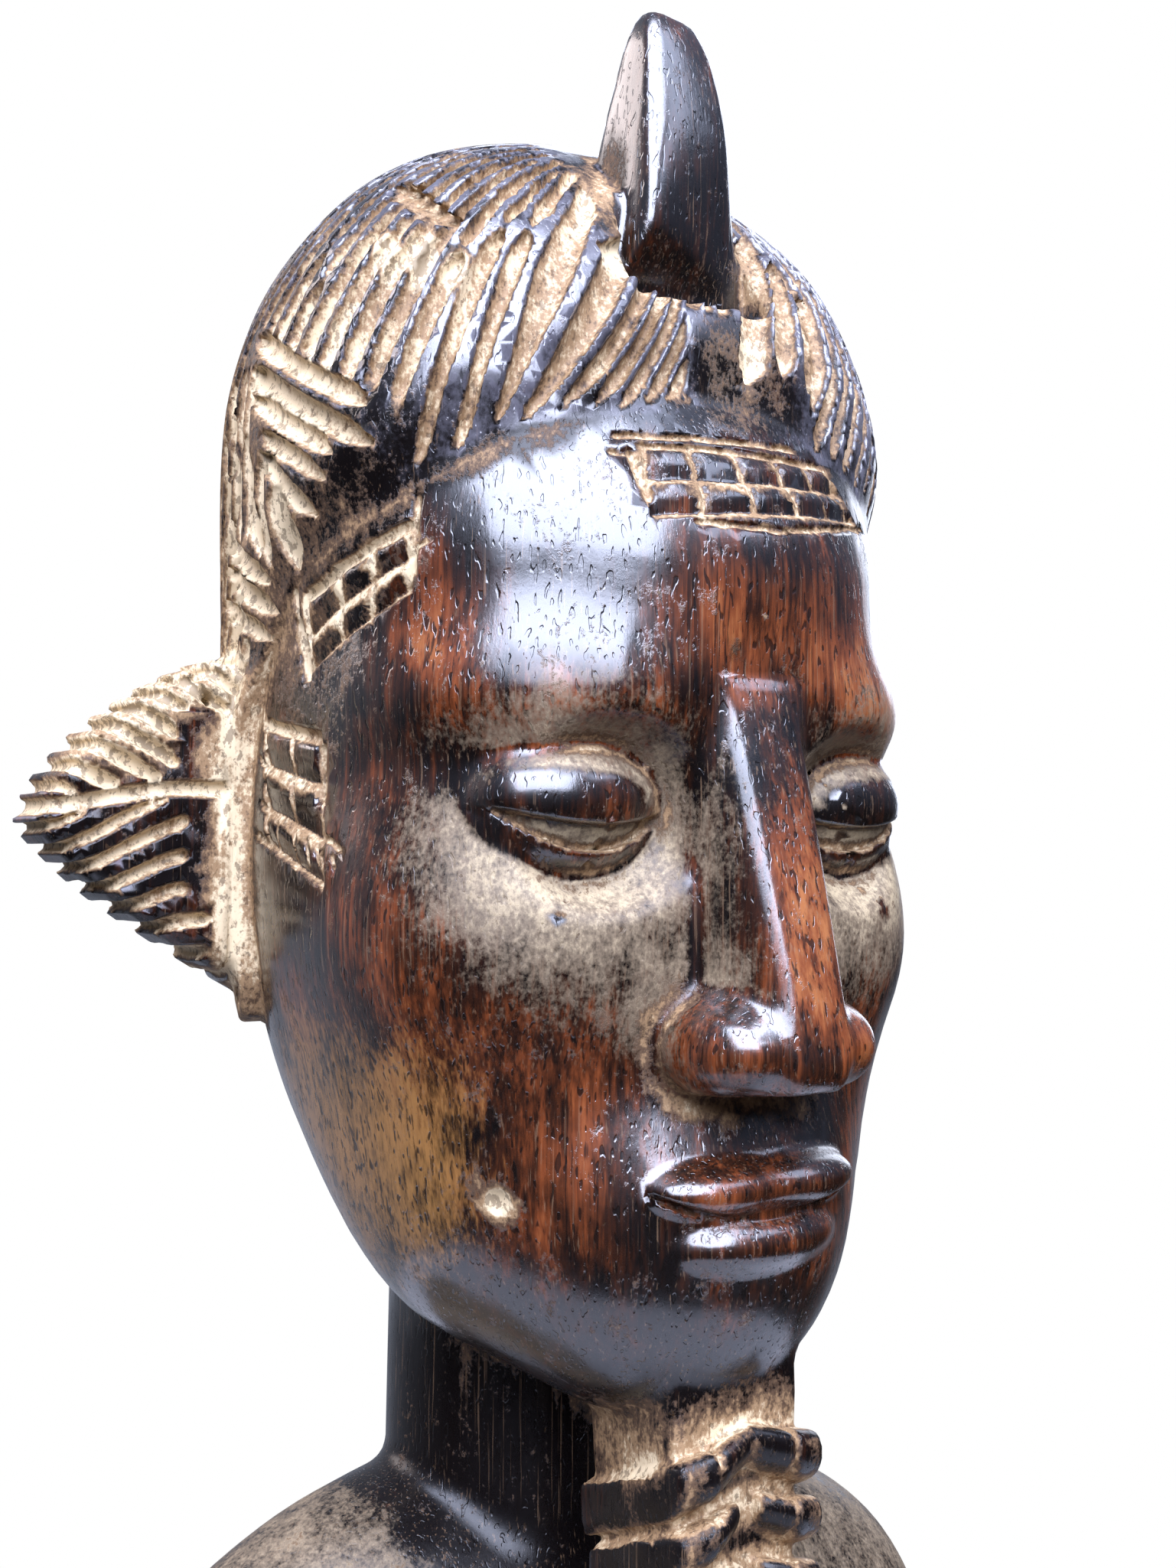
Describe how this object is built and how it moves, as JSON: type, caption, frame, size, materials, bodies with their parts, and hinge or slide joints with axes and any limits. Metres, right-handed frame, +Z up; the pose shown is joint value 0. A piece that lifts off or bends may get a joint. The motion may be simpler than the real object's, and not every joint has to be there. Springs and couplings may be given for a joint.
{
  "type": "baule figure bust",
  "caption": "Carved wooden bust of a bearded figure with grooved hair, topknot, side lobes, long neck and shoulders, cut flat below.",
  "frame": {"origin": "on the flat cut below the shoulders, on the upright axis through the middle of the head", "axes": "+Z up through the head, the face looks along -Y, the figure's left is +X"},
  "size_m": [0.1136, 0.0798, 0.209],
  "materials": {
    "carved_wood": "dark hard wood, polished by handling on its high parts, with pale dust in its cuts"
  },
  "bodies": {
    "root": {"carved_bust": "carved_wood"}
  },
  "joints": []
}
